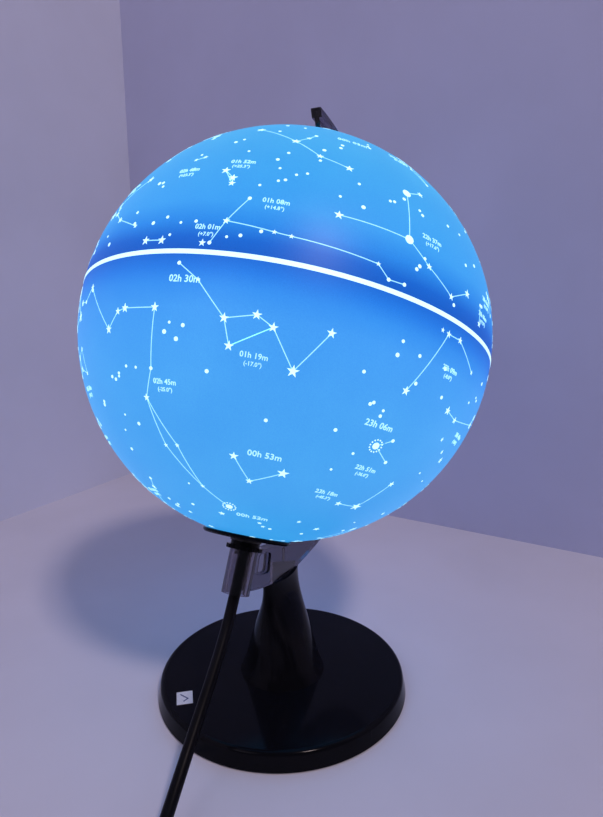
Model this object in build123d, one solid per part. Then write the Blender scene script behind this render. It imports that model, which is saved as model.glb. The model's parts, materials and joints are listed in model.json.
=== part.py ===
from build123d import *
import os
from math import cos, pi, radians, sin, tan

# An illuminated celestial globe on a desk stand, with its mains lead, in-line switch and plug.
# Units are millimetres and +Z is up. The origin is the centre of the foot pad's underside. The polar
# axis leans towards +X in the XZ plane, and the clear half-round arm lies in that plane, behind the
# globe on the +X side.

# Driving dimensions
GLOBE_R = 100.0
SHELL = 1.5
TILT = 23.5
GLOBE_X = 9.0
GLOBE_Z = 187.5
SEAM_HALF = 0.9

BASE_R = 67.0
BASE_TOP_R = 65.2
BASE_TOP = 9.6
BASE_RIM_Z = 0.8
BASE_WALL = 2.4
PAD_T = 1.2
PAD_R = 61.0

ARM_IN = 105.2
ARM_OUT = 121.9
ARM_T = 5.8
ARM_WEB = 2.8
ARM_TIP = -8.3  # degrees past the north pole
ARM_FLANGE = 4.0
FOOT_SHIFT = 18.0  # how far the centre of the foot's own arc is below the globe's, along the axis
FOOT_OUT = 107.1
TUBE_R = 6.8
TUBE_BORE = 4.5
TUBE_TOP = 105.6
TUBE_END = 126.4

STEM_FOOT_R = 22.8
STEM_WALL = 2.6
TONGUE_T = 3.2
TONGUE_LOW = (11.0, 67.4)  # the two top corners of the tongue, as X and height
TONGUE_HIGH = (-12.0, 76.2)

CAP_R = 21.4
CAP_HOLE = 19.5
TRUNK_R = 6.5
RUN_GAP = 0.05

CORD_R = 2.7
CORD_START = 108.0

SWITCH = (19.0, 46.0, 14.0)
SWITCH_AT = (-159.0, -84.0)
COIL_AT = (-127.0, -151.0)
COIL_IN = 19.2
COIL_OUT = 41.6
TIE_T = 0.5
COIL_TOP = TIE_T + 4 * CORD_R + 0.2

PLUG_BACK = -101.0  # where the plug's strain relief starts, along X
PLUG_W = 35.3
PLUG_T = 13.7
PIN_R = 2.0
PIN_GAP = 18.6
PIN_LENGTH = 19.0

AXIS = Vector(sin(radians(TILT)), 0, cos(radians(TILT)))
GLOBE = Vector(GLOBE_X, 0, GLOBE_Z)
POLAR = Plane(origin=GLOBE, x_dir=(cos(radians(TILT)), 0, -sin(radians(TILT))), z_dir=AXIS)

made = {}


def keep(name, *solids):
    """Adds solids to the named sub-part."""
    made.setdefault(name, []).extend(s for shape in solids for s in shape.solids())


def turned(*outline):
    """A solid of revolution about Z from (radius, height) corners."""
    return revolve(Plane.XZ * make_face(Polyline(*outline, close=True)), Axis.Z, 360)


def rod(radius, low, high, x=0.0, y=0.0):
    """An upright cylinder from one height to another."""
    return Pos(x, y, (low + high) / 2) * Cylinder(radius, high - low)


def slab(width, depth, low, high, x=0.0, y=0.0):
    """An upright box from one height to another."""
    return Pos(x, y, (low + high) / 2) * Box(width, depth, high - low)


def on_axis(shape):
    """Moves a shape made about the polar axis, north up, to its place."""
    return POLAR.location * shape


def ring_of(count, radius, start=0.0):
    """Locations spread round a circle."""
    angles = [radians(start + k * 360 / count) for k in range(count)]
    return [Location((radius * cos(angle), radius * sin(angle), 0)) for angle in angles]


# --- Base -----------------------------------------------------------------------------------------
SCREW_RING = 42.0
BOSS_R = 3.4
UNDERPLATE_Z = (PAD_T, PAD_T + 1.4)
BALLAST_Z = (2.9, 6.9)
BOLT_R = 2.5
BOLT_TOP = 34.0


def base_cover():
    """The moulded top of the base: a shallow dish with a rounded edge, hollow underneath."""
    skin = BASE_TOP - BASE_WALL
    body = turned((0, BASE_RIM_Z), (BASE_R, BASE_RIM_Z), (BASE_TOP_R, BASE_TOP), (0, BASE_TOP))
    top_edge = body.edges().group_by(Axis.Z)[-1]
    body = fillet(top_edge, 2.4)
    body -= turned((0, 0), (BASE_R - BASE_WALL, 0), (BASE_TOP_R - BASE_WALL, skin), (0, skin))
    for place in ring_of(3, SCREW_RING, 90):
        boss = rod(BOSS_R, UNDERPLATE_Z[1] + 0.1, skin) - rod(1.4, 0, skin)
        body += place * boss
    return body - rod(BOLT_R + 0.2, 0, BASE_TOP)


def ballast_plate():
    plate = rod(60.0, *BALLAST_Z) - rod(12.0, *BALLAST_Z)
    for place in ring_of(3, SCREW_RING, 90):
        plate -= place * rod(BOSS_R + 0.4, *BALLAST_Z)
    return plate


def underplate():
    plate = rod(BASE_R - BASE_WALL - 1.1, *UNDERPLATE_Z)
    for place in ring_of(3, SCREW_RING, 90):
        plate -= place * rod(1.6, 0, 4)
    return plate


def foot_pad():
    pad = rod(PAD_R, 0, PAD_T)
    for place in ring_of(3, SCREW_RING, 90):
        pad -= place * rod(4.5, -1, 4)
    return pad


def base_screw():
    """A pan-head self-tapping screw, head down."""
    head = turned((0, 0.2), (2.3, 0.2), (2.9, 0.7), (2.9, PAD_T), (0, PAD_T))
    cross = slab(3.0, 0.6, 0, 0.7) + slab(0.6, 3.0, 0, 0.7)
    return head + rod(1.4, PAD_T, 6.8) - cross


def stem_bolt():
    """The hexagon bolt that clamps the stem down on the base."""
    head = Pos(0, 0, 3.0) * extrude(RegularPolygon(4.6, 6), 3.2)
    return head + rod(BOLT_R, 6.2, BOLT_TOP)


# --- Stem -----------------------------------------------------------------------------------------
# Heights with half-widths along the arm and across it: a blade that grows into a round foot.
STEM_SECTIONS = [
    (BASE_TOP, STEM_FOOT_R, STEM_FOOT_R),
    (15.0, 20.9, 20.5),
    (24.0, 18.9, 17.5),
    (35.0, 17.6, 13.9),
    (44.0, 16.7, 10.3),
    (53.0, 16.0, 6.7),
    (67.0, 15.8, 5.6),
]
SOLID_FROM = 48.0
SCREW_CORE = 1.3


def stem_form(inset, low, high):
    """The stem's outer form, or a copy of it inset for the hollow."""
    rings = [
        Pos(0, 0, z) * Ellipse(a - inset, b - inset)
        for z, a, b in STEM_SECTIONS
        if low <= z <= high
    ]
    return loft(rings)


def tongue(gap=0.0):
    """The blade on the stem that enters the arm's foot, or with a gap the slot for it."""
    (low_x, low_z), (high_x, high_z) = TONGUE_LOW, TONGUE_HIGH
    low_x, high_x = low_x + gap, high_x - gap
    outline = Polyline((low_x, 56), (low_x, low_z + gap), (high_x, high_z + gap), (high_x, 56), close=True)
    return extrude(Plane.XZ * make_face(outline), TONGUE_T / 2 + gap, both=True)


def stem():
    body = stem_form(0.0, 0, 99)
    body -= on_axis(Pos(0, 0, -FOOT_SHIFT) * Rot(90, 0, 0) * Cylinder(FOOT_OUT + 0.1, 60))
    body -= stem_form(STEM_WALL, 0, SOLID_FROM) - rod(6.0, 0, 99)
    body += tongue()
    body -= rod(BOLT_R, 0, 42.0)
    return body - rod(SCREW_CORE, 40.0, 80.0)


def arm_screw():
    """Holds the arm down on the stem's tongue."""
    return rod(2.4, 40.2, 42.0) - slab(3.2, 0.7, 40, 40.8) + rod(SCREW_CORE, 42.0, 79.0)


# --- Arm ------------------------------------------------------------------------------------------
ARM_LIP = 2.2
FOOT_FROM = 145.5  # where the foot's arc meets the ring's, in degrees from the north pole
ARM_WINDOWS = [(ARM_TIP - 6, 145.0), (168.6, 174.2)]


def polar(radius, degrees):
    """A point in the arm's own plane, degrees from the north pole."""
    return (radius * sin(radians(degrees)), radius * cos(radians(degrees)))


def sector(inner, outer, start, end, inner_start=None, corner=0.0):
    """A flat band between two arcs, from one angle off the north pole to another."""
    first = start if inner_start is None else inner_start
    outline = [
        CenterArc((0, 0), outer, 90 - end, end - start),
        CenterArc((0, 0), inner, 90 - end, end - first),
        Line(polar(outer, start), polar(inner, first)),
        Line(polar(outer, end), polar(inner, end)),
    ]
    face = make_face(outline)
    return fillet(face.vertices(), corner) if corner else face


def across(face, thickness):
    """A flat outline in the arm's plane as a plate, half its thickness to each side."""
    return extrude(Plane.XZ * face, thickness / 2, both=True)


def arm_face():
    """The arm's outline from the side: a half ring that deepens towards its foot."""
    ring = sector(ARM_IN, ARM_OUT, ARM_TIP, 150, inner_start=-2.5)
    foot = sector(ARM_IN, ARM_OUT + 9, FOOT_FROM, 180)
    return ring + (foot & (Pos(0, -FOOT_SHIFT) * Circle(FOOT_OUT)))


def arm():
    """The clear arm: an I-section half ring with the lamp tube moulded on its lower end."""
    plate = across(arm_face(), ARM_T)
    for start, end in ARM_WINDOWS:
        pocket = across(sector(ARM_IN + ARM_LIP, ARM_OUT - ARM_FLANGE, start, end, corner=2.0), ARM_T + 1)
        plate -= pocket - across(sector(ARM_IN, ARM_OUT, start - 1, end + 1), ARM_WEB)
    plate += rod(TUBE_R, -TUBE_END, -TUBE_TOP)
    plate += rod(4.2, 102.2, 110.0)
    plate -= rod(9.4, -TUBE_TOP, -TUBE_TOP + 20)
    plate -= rod(TUBE_BORE, -TUBE_END - 1, -TUBE_TOP + 1)
    plate -= rod(1.5, 100.0, 114.0)
    return on_axis(plate) - tongue(0.15) - rod(SCREW_CORE, 60.0, 79.0)


def top_pin():
    """The steel pin that the north end of the globe turns on."""
    return on_axis(rod(1.5, 97.0, 114.0))


# --- Lamp on the polar axis -----------------------------------------------------------------------
def lamp_tube():
    """The black tube through the globe's south cap, with the knurled flange that sits on the arm's tube."""
    body = turned(
        (TRUNK_R, -66),
        (TRUNK_R, -101.7),
        (7.1, -101.7),
        (7.1, -103.7),
        (8.9, -103.7),
        (8.9, -TUBE_TOP),
        (TUBE_BORE - 0.05, -TUBE_TOP),
        (TUBE_BORE - 0.05, -CORD_START),
        (2.6, -CORD_START),
        (2.6, -66),
    )
    for place in ring_of(18, 9.3):
        body -= place * rod(0.75, -TUBE_TOP - 0.1, -103.6)
    return on_axis(body)


def thrust_washer():
    return on_axis(rod(7.6, -101.65, -100.8) - rod(TRUNK_R + 0.02, -103, -100))


def lamp_socket():
    """The bulb holder, a moulded cup screwed on the lamp tube."""
    bore = TRUNK_R + 0.02
    body = turned((bore, -72), (10, -72), (13, -62), (13, -34), (11, -34), (11, -62), (bore, -64))
    return on_axis(body)


def socket_sleeve():
    """The brass screw shell in the holder, with its centre contact."""
    shell = rod(7.6, -60, -39.3) - rod(7.1, -60, -39.3)
    flange = rod(10.9, -60.6, -60) - rod(6.0, -61, -59.9)
    return on_axis(shell + flange), on_axis(slab(3, 9, -61.8, -61.2) + rod(1.6, -61.8, -59.6))


def bulb():
    cap = on_axis(rod(7.0, -57.5, -39.0) + rod(2.6, -59.5, -57.5))
    body = on_axis(turned((0, -39), (7.5, -39), (19.5, -12), (19.5, -9), (0, -9)))
    dome = Sphere(22.5) & slab(60, 60, -9.0, 40)
    dome = dome - (Sphere(21.3) & slab(60, 60, -20, 40)) + (rod(20.2, -9, -8) - rod(18.4, -9, -8))
    board = on_axis(rod(17.5, -8.9, -7.5))
    return cap, body, on_axis(dome), board


def led_chip(angle):
    return on_axis(Rot(0, 0, angle) * slab(2.8, 3.5, -7.5, -6.6, x=11.0))


# --- Globe ----------------------------------------------------------------------------------------
def hemisphere(north):
    """One printed half of the globe's shell, with its pole hole."""
    shell = Sphere(GLOBE_R) - Sphere(GLOBE_R - SHELL)
    size = 2.2 * GLOBE_R
    if north:
        half = shell & slab(size, size, SEAM_HALF, size)
        return on_axis(half - rod(4.0, 50, 110))
    half = shell & slab(size, size, -size, -SEAM_HALF)
    return on_axis(half - rod(CAP_HOLE, -110, -50))


def equator_ring():
    """The joining ring: a bead on the seam and a lip inside each half, the deeper one in the north."""
    inner = GLOBE_R - SHELL - 1.2
    size = 2.2 * GLOBE_R
    lips = (Sphere(GLOBE_R - SHELL - 0.05) - Sphere(inner)) & slab(size, size, -4.5, 8.5)
    bead = (Sphere(GLOBE_R + 0.15) - Sphere(inner)) & slab(size, size, -SEAM_HALF, SEAM_HALF)
    return on_axis(lips + bead)


def south_cap():
    """The black cap in the globe's lower hole. Its hub turns on the lamp tube."""
    hub = TRUNK_R + RUN_GAP
    body = turned(
        (hub, -100.6),
        (9.5, -100.6),
        (9.5, -100.0),
        (CAP_R - 0.7, -100.0),
        (CAP_R, -99.3),
        (CAP_R, -98.4),
        (CAP_R - 0.3, -98.15),
        (CAP_HOLE - 0.1, -98.15),
        (CAP_HOLE - 0.1, -90.0),
        (CAP_HOLE - 1.8, -90.0),
        (CAP_HOLE - 1.8, -98.0),
        (9.5, -98.0),
        (9.5, -88.0),
        (hub, -88.0),
    )
    return on_axis(body)


def north_bush():
    body = turned(
        (1.5 + RUN_GAP, 94.0),
        (3.9, 94.0),
        (3.9, 100.02),
        (6.5, 100.02),
        (6.2, 100.9),
        (3.2, 101.6),
        (1.5 + RUN_GAP, 101.6),
    )
    return on_axis(body)


# --- Mains lead -----------------------------------------------------------------------------------
CORD_Z = CORD_R + 0.02
SWITCH_CORD_Z = 6.9
PIN_Z = PLUG_T / 2
SWITCH_END = SWITCH[1] / 2 - 2.5
SOUTH_MOUTH = GLOBE - AXIS * CORD_START
OUT_OF_TUBE = GLOBE - AXIS * (TUBE_END + 8.0)
COIL_LEFT = COIL_AT[0] - COIL_OUT + CORD_R
COIL_FRONT = COIL_AT[1] - COIL_OUT + CORD_R

LEAD_FROM_GLOBE = [
    SOUTH_MOUTH,
    OUT_OF_TUBE,
    Vector(-61.0, -2.6, 46.5),
    Vector(-77.5, -4.4, 29.5),
    Vector(-96.0, -8.0, 14.5),
    Vector(-117.0, -15.0, 5.0),
    Vector(-138.0, -21.5, CORD_Z),
    Vector(-151.2, -32.2, CORD_Z + 0.4),
    Vector(-158.7, -47.5, CORD_Z + 2.0),
    Vector(SWITCH_AT[0], SWITCH_AT[1] + SWITCH_END, SWITCH_CORD_Z),
]
LEAD_TO_COIL = [
    Vector(SWITCH_AT[0], SWITCH_AT[1] - SWITCH_END, SWITCH_CORD_Z),
    Vector(SWITCH_AT[0] - 0.6, SWITCH_AT[1] - SWITCH_END - 12.5, SWITCH_CORD_Z - 1.3),
    Vector(COIL_LEFT + 2.3, COIL_AT[1] + 19, CORD_Z + TIE_T),
    Vector(COIL_LEFT + 0.3, COIL_AT[1] + 6, CORD_Z + TIE_T),
]
LEAD_TO_PLUG = [
    Vector(COIL_AT[0] - 4, COIL_FRONT + 0.6, COIL_TOP - CORD_R),
    Vector(COIL_AT[0] + 9, COIL_FRONT - 0.4, COIL_TOP - CORD_R - 1.6),
    Vector(PLUG_BACK - 4.0, COIL_FRONT - 1.0, PIN_Z + 0.4),
    Vector(PLUG_BACK + 2.0, COIL_FRONT - 1.0, PIN_Z),
]


def corner_radii(points):
    """The largest arc that fits each corner of a route."""
    radii = []
    for before, here, after in zip(points, points[1:], points[2:]):
        turn = radians((here - before).get_angle(after - here))
        shorter = min((here - before).length, (after - here).length)
        radii.append(0.45 * shorter / tan(turn / 2))
    return radii


def tube_along(points, name):
    """A cord's plain tube: straight runs joined by tangent arcs."""
    radii = corner_radii(points)
    path = FilletPolyline(*points, radius=radii)
    section = Plane(origin=points[0], z_dir=points[1] - points[0]) * Circle(CORD_R)
    tube = sweep(section, path=path)
    print(name, "radii", [round(r) for r in radii], "length", round(path.length, 1), end=" ")
    print("volume over section times length", round(tube.volume / (pi * CORD_R**2 * path.length), 4))
    return tube


def cord_coil():
    ring = turned((COIL_IN, TIE_T), (COIL_OUT, TIE_T), (COIL_OUT, COIL_TOP), (COIL_IN, COIL_TOP))
    ring = fillet(ring.edges(), CORD_R - 0.1)
    return Pos(*COIL_AT, 0) * ring


def cord_tie():
    """A flat strap round the bundle of turns."""
    middle, width = (COIL_IN + COIL_OUT) / 2, COIL_OUT - COIL_IN
    height = COIL_TOP - TIE_T
    section = Pos(middle, (TIE_T + COIL_TOP) / 2)
    outer = section * RectangleRounded(width + 2 * TIE_T, height + 2 * TIE_T - 0.02, CORD_R + 0.4)
    inner = section * RectangleRounded(width + 0.02, height + 0.02, CORD_R - 0.1)
    strap = revolve(Plane.XZ * (outer - inner), Axis.Z, 14)
    return Pos(*COIL_AT, 0) * Rot(0, 0, 20) * strap


# --- In-line switch -------------------------------------------------------------------------------
ROCKER = (8.0, 15.0)
ROCKER_PIVOT_Z = 11.2
ROCKER_REST = 7.0
TRUNNION_R = 1.2


def switch_form():
    width, length, height = SWITCH
    form = fillet(Box(width, length, height).edges().filter_by(Axis.Z), 5.0)
    form = Pos(0, 0, height / 2) * form
    form = fillet(form.edges().group_by(Axis.Z)[-1], 2.2)
    return fillet(form.edges().group_by(Axis.Z)[0], 1.0)


def switch_halves():
    """Lower and upper halves of the switch, hollow, with a hole for the cord at each end."""
    width, length, height = SWITCH
    form = switch_form() - slab(width - 4, length - 9, 2, height - 2)
    form -= Pos(0, 0, SWITCH_CORD_Z) * Rot(90, 0, 0) * Cylinder(CORD_R + 0.05, length + 2)
    lower = form & slab(40, 60, -1, SWITCH_CORD_Z)
    upper = form & slab(40, 60, SWITCH_CORD_Z, 20)
    upper += slab(width - 4, 7, ROCKER_PIVOT_Z - 2.4, height - 1)
    upper -= slab(ROCKER[0] + 0.6, ROCKER[1] + 1.4, ROCKER_PIVOT_Z - 5, height + 1)
    upper -= Pos(0, 0, ROCKER_PIVOT_Z) * Rot(0, 90, 0) * Cylinder(TRUNNION_R + RUN_GAP, 13.0)
    screw_hole = rod(1.3, -1, 5, y=-14) + rod(2.15, -1, 1.05, y=-14)
    lower += rod(3.0, 1.5, SWITCH_CORD_Z - 3.4, y=-14) - rod(1.3, 0, 9, y=-14)
    return lower - screw_hole, upper


def rocker():
    """The rocker, dished on top, with a trunnion on each side, pressed down at its on end."""
    width, length = ROCKER
    body = slab(width, length, -2.6, 4.6)
    dish = Pos(0, 0, 4.6 + 21.0) * Rot(0, 90, 0) * Cylinder(22.4, width + 2)
    body -= dish
    body = fillet(body.edges().filter_by(Axis.X).group_by(Axis.Z)[-1], 0.5)
    for side in (-1, 1):
        body -= Pos(0, side * length / 2, -2.6) * Rot(side * 28, 0, 0) * Box(width + 2, 4.4, 3.4)
    mark = Pos(0, length / 2 - 3.6, 3.55) * Cylinder(1.0, 1.4)
    body -= mark
    body += Rot(0, 90, 0) * Cylinder(TRUNNION_R, 11.6)
    return Pos(0, 0, ROCKER_PIVOT_Z) * Rot(-ROCKER_REST, 0, 0) * body


def at_switch(shape):
    return Pos(*SWITCH_AT, 0) * shape


def switch_contacts():
    """Two brass strips under the rocker."""
    return [slab(3.4, 6.5, 2.1, 2.9, y=y) for y in (-5.0, 5.0)]


def switch_screw():
    return rod(2.1, 0.15, 1.0, y=-14) - slab(3, 0.5, 0, 0.5, y=-14) + rod(1.25, 1.0, 3.2, y=-14)


# --- Plug -----------------------------------------------------------------------------------------
PLUG_Y = COIL_FRONT - 1.0
RELIEF_LENGTH = 20.0
BODY_BACK = PLUG_BACK + RELIEF_LENGTH
BODY_LENGTH = 30.0
PLUG_FACE = BODY_BACK + BODY_LENGTH


def plug_body():
    """A flat two-pin plug body that narrows towards its cord."""
    half = PLUG_W / 2
    outline = Polyline(
        (BODY_BACK, -6.2),
        (BODY_BACK + 9, -8.4),
        (PLUG_FACE - 10, -half),
        (PLUG_FACE, -half),
        (PLUG_FACE, half),
        (PLUG_FACE - 10, half),
        (BODY_BACK + 9, 8.4),
        (BODY_BACK, 6.2),
        close=True,
    )
    body = extrude(make_face(outline), PLUG_T)
    body = fillet(body.edges().filter_by(Axis.Z), 2.4)
    body = fillet(body.edges().group_by(Axis.Z)[-1] + body.edges().group_by(Axis.Z)[0], 2.0)
    for side in (-1, 1):
        hole = Pos(PLUG_FACE - 4, side * PIN_GAP / 2, PIN_Z) * Rot(0, 90, 0) * Cylinder(1.5, 10)
        body -= hole
    return Pos(0, PLUG_Y, 0) * body


def plug_relief():
    """The tapered, ribbed sleeve where the cord enters the plug."""
    body = Cone(3.6, 5.6, RELIEF_LENGTH)
    for k in range(5):
        height = -RELIEF_LENGTH / 2 + 2.6 + 3.4 * k
        radius = 3.6 + 2.0 * (height + RELIEF_LENGTH / 2) / RELIEF_LENGTH
        groove = Pos(0, 0, height) * (Cylinder(radius + 1, 1.1) - Cylinder(radius - 0.6, 1.1))
        body -= groove
    body -= Pos(0, 0, -RELIEF_LENGTH / 2) * Cylinder(CORD_R + 0.05, 4.0)
    return Pos(PLUG_BACK + RELIEF_LENGTH / 2, PLUG_Y, PIN_Z) * Rot(0, 90, 0) * body


def plug_pin(side):
    """A round pin: a bare tip, and a thinner shank inside a flush insulating sleeve."""
    shank = Cylinder(1.5, 19.0)
    tip = fillet(Cylinder(PIN_R, 9.0).edges().group_by(Axis.Z)[-1], 0.9)
    pin = Pos(0, 0, 0.5) * shank + Pos(0, 0, PIN_LENGTH - 4.5) * tip
    sleeve = Pos(0, 0, 5.0) * (Cylinder(PIN_R, 10.0) - Cylinder(1.5, 10.0))
    place = Pos(PLUG_FACE, PLUG_Y + side * PIN_GAP / 2, PIN_Z) * Rot(0, 90, 0)
    return place * pin, place * sleeve


# --- Everything -----------------------------------------------------------------------------------
STICKER = (8.0, 10.0, 0.15)
STICKER_AT = (-47.2, 29.4)


def build():
    keep("base_cover", base_cover())
    keep("ballast_plate", ballast_plate())
    keep("base_underplate", underplate())
    keep("foot_pad", foot_pad())
    for place in ring_of(3, SCREW_RING, 90):
        keep("base_screws", place * base_screw())
    keep("stem_bolt", stem_bolt())
    keep("stem_washer", rod(9.0, 6.25, BASE_TOP - BASE_WALL) - rod(BOLT_R, 6, 8))
    width, length, thick = STICKER
    sticker = Pos(*STICKER_AT, BASE_TOP + thick / 2) * Rot(0, 0, 41) * Box(length, width, thick)
    keep("inspection_sticker", sticker)

    keep("stem", stem())
    keep("arm_screw", arm_screw())
    keep("meridian_arm", arm())
    keep("top_pin", top_pin())

    keep("lamp_tube", lamp_tube())
    keep("thrust_washer", thrust_washer())
    keep("lamp_socket", lamp_socket())
    sleeve, contact = socket_sleeve()
    keep("socket_sleeve", sleeve)
    keep("socket_contact", contact)
    cap, body, dome, board = bulb()
    keep("bulb_cap", cap)
    keep("bulb_body", body)
    keep("bulb_dome", dome)
    keep("led_board", board)
    for angle in range(0, 360, 60):
        keep("led_chips", led_chip(angle))
    for side in (-1, 1):
        keep("lamp_wires", on_axis(rod(0.9, 0.2 - CORD_START, -64.2, x=side * 1.2)))

    keep("north_hemisphere", hemisphere(True))
    keep("south_hemisphere", hemisphere(False))
    keep("equator_ring", equator_ring())
    keep("south_cap", south_cap())
    keep("north_bush", north_bush())

    keep("lead_from_globe", tube_along(LEAD_FROM_GLOBE, "lead_from_globe"))
    keep("lead_to_coil", tube_along(LEAD_TO_COIL, "lead_to_coil"))
    keep("lead_to_plug", tube_along(LEAD_TO_PLUG, "lead_to_plug"))
    keep("cord_coil", cord_coil())
    keep("cord_tie", cord_tie())

    lower, upper = switch_halves()
    keep("switch_lower_half", at_switch(lower))
    keep("switch_upper_half", at_switch(upper))
    keep("switch_rocker", at_switch(rocker()))
    for strip in switch_contacts():
        keep("switch_contacts", at_switch(strip))
    keep("switch_screw", at_switch(switch_screw()))

    keep("plug_body", plug_body())
    keep("plug_strain_relief", plug_relief())
    for side in (-1, 1):
        pin, insulation = plug_pin(side)
        keep("plug_pins", pin)
        keep("plug_pin_sleeves", insulation)

    os.makedirs("parts", exist_ok=True)
    for name, solids in made.items():
        export_step(solids[0] if len(solids) == 1 else Compound(solids), f"parts/{name}.step")
    print(len(made), "sub-parts,", sum(len(s) for s in made.values()), "solids")


build()
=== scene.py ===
"""The looks of the illuminated celestial globe: printed sky, materials, mains lead and studio.

Lengths are metres unless a name ends in _MM. The sky is placed by right ascension, in hours, and
declination, in degrees, on the frame's own globe.
"""

import json
import random
from math import cos, pi, radians, sin

import bmesh
import bpy
from mathutils import Matrix, Vector


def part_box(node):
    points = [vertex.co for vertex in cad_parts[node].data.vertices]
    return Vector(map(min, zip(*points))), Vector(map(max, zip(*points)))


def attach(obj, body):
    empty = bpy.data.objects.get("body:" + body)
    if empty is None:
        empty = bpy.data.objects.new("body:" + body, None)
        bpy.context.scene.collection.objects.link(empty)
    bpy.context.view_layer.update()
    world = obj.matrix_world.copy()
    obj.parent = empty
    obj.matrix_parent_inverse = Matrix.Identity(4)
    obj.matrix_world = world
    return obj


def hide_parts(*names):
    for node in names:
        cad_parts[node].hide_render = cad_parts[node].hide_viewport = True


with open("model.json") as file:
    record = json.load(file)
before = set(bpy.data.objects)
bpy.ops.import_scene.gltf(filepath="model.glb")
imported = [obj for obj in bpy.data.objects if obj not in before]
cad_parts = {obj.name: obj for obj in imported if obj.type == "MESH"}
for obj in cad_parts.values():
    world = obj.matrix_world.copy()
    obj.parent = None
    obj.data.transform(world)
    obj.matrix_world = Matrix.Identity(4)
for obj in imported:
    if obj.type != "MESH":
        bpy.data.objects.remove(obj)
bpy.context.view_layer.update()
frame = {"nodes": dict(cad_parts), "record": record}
MM = 0.001

# The frame's polar axis, and where the two printed halves are turned to on it
TILT = radians(23.5)
AXIS = Vector((sin(TILT), 0, cos(TILT)))
GLOBE = Vector((0.009, 0, 0.1875))
RADIUS = 0.100
SPIN = {"north": 221.0, "south": 225.7}


# --- Camera ---------------------------------------------------------------------------------------
def make_camera():
    data = bpy.data.cameras.new("camera")
    data.sensor_width = 36
    data.lens = 27.33
    camera = bpy.data.objects.new("camera", data)
    bpy.context.scene.collection.objects.link(camera)
    camera.location = (-0.2622, -0.1626, 0.2133)
    view = Vector((0.8535, 0.4855, -0.1894))
    roll = Matrix.Rotation(radians(-0.475), 3, "Z")
    camera.rotation_euler = (view.to_track_quat("-Z", "Y").to_matrix() @ roll).to_euler()
    bpy.context.scene.camera = camera


# --- Materials ------------------------------------------------------------------------------------
class Look:
    """A procedural material: a Principled shader, and the textures that feed it."""

    def __init__(self, name, color=(0.8, 0.8, 0.8), **sockets):
        self.material = bpy.data.materials.new(name)
        self.material.use_nodes = True
        self.tree = self.material.node_tree
        self.shader = self.tree.nodes["Principled BSDF"]
        self.shader.inputs["Base Color"].default_value = (*color, 1)
        for key, value in sockets.items():
            self.shader.inputs[key.replace("_", " ")].default_value = value
        self.place = self.node("ShaderNodeTexCoord").outputs["Object"]

    def node(self, kind, **values):
        made = self.tree.nodes.new(kind)
        for key, value in values.items():
            setattr(made, key, value)
        return made

    def join(self, source, target):
        self.tree.links.new(source, target)

    def noise(self, scale, detail=2.0, stretch=None):
        """Noise in the object's own space, with scale in features per metre."""
        made = self.node("ShaderNodeTexNoise")
        made.inputs["Scale"].default_value = scale
        made.inputs["Detail"].default_value = detail
        place = self.place
        if stretch:
            mapping = self.node("ShaderNodeMapping")
            mapping.inputs["Scale"].default_value = stretch
            self.join(place, mapping.inputs["Vector"])
            place = mapping.outputs["Vector"]
        self.join(place, made.inputs["Vector"])
        return made.outputs["Fac"]

    def cells(self, scale):
        made = self.node("ShaderNodeTexVoronoi")
        made.inputs["Scale"].default_value = scale
        self.join(self.place, made.inputs["Vector"])
        return made.outputs["Distance"]

    def ramp(self, source, *stops):
        """A colour ramp from (position, colour) stops."""
        made = self.node("ShaderNodeValToRGB")
        elements = made.color_ramp.elements
        while len(elements) < len(stops):
            elements.new(0.5)
        for element, (position, color) in zip(elements, stops):
            element.position = position
            element.color = (*color, 1)
        self.join(source, made.inputs["Fac"])
        return made.outputs["Color"]

    def span(self, source, low, high, start=0.0, end=1.0):
        """Maps start..end of a value to low..high."""
        made = self.node("ShaderNodeMapRange")
        for key, value in (("From Min", start), ("From Max", end), ("To Min", low), ("To Max", high)):
            made.inputs[key].default_value = value
        self.join(source, made.inputs["Value"])
        return made.outputs["Result"]

    def color(self, source, *stops):
        self.join(self.ramp(source, *stops), self.shader.inputs["Base Color"])
        return self

    def rough(self, source, low, high):
        self.join(self.span(source, low, high), self.shader.inputs["Roughness"])
        return self

    def bump(self, source, depth, strength=1.0):
        made = self.node("ShaderNodeBump")
        made.inputs["Strength"].default_value = strength
        made.inputs["Distance"].default_value = depth
        self.join(source, made.inputs["Height"])
        self.join(made.outputs["Normal"], self.shader.inputs["Normal"])
        return self


def shades(color, spread, low=0.35, high=0.65):
    """Two stops either side of a colour."""
    darker = tuple(c * (1 - spread) for c in color)
    lighter = tuple(min(1, c * (1 + spread)) for c in color)
    return (low, darker), (high, lighter)


def moulded(name, color, roughness, grain_mm=0.35, depth_mm=0.012, **sockets):
    """Moulded plastic with a fine grain."""
    look = Look(name, color, Roughness=roughness, **sockets)
    look.color(look.noise(60, 3), *shades(color, 0.18))
    look.rough(look.noise(220, 4), roughness * 0.8, roughness * 1.3)
    look.bump(look.noise(1000 / grain_mm, 2), depth_mm * MM)
    return look.material


def gloss_black():
    """Polished black plastic with a soft orange-peel, faint handling haze and specks of dust."""
    look = Look("gloss_black", (0.003, 0.003, 0.005), IOR=1.5, Specular_IOR_Level=0.08)
    dust = look.cells(420)
    look.color(dust, (0.015, (0.16, 0.16, 0.2)), (0.035, (0.004, 0.004, 0.006)))
    haze = look.noise(28, 5)
    look.rough(haze, 0.07, 0.2)
    look.bump(look.noise(170, 2), 0.008 * MM, 0.3)
    return look.material


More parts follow.
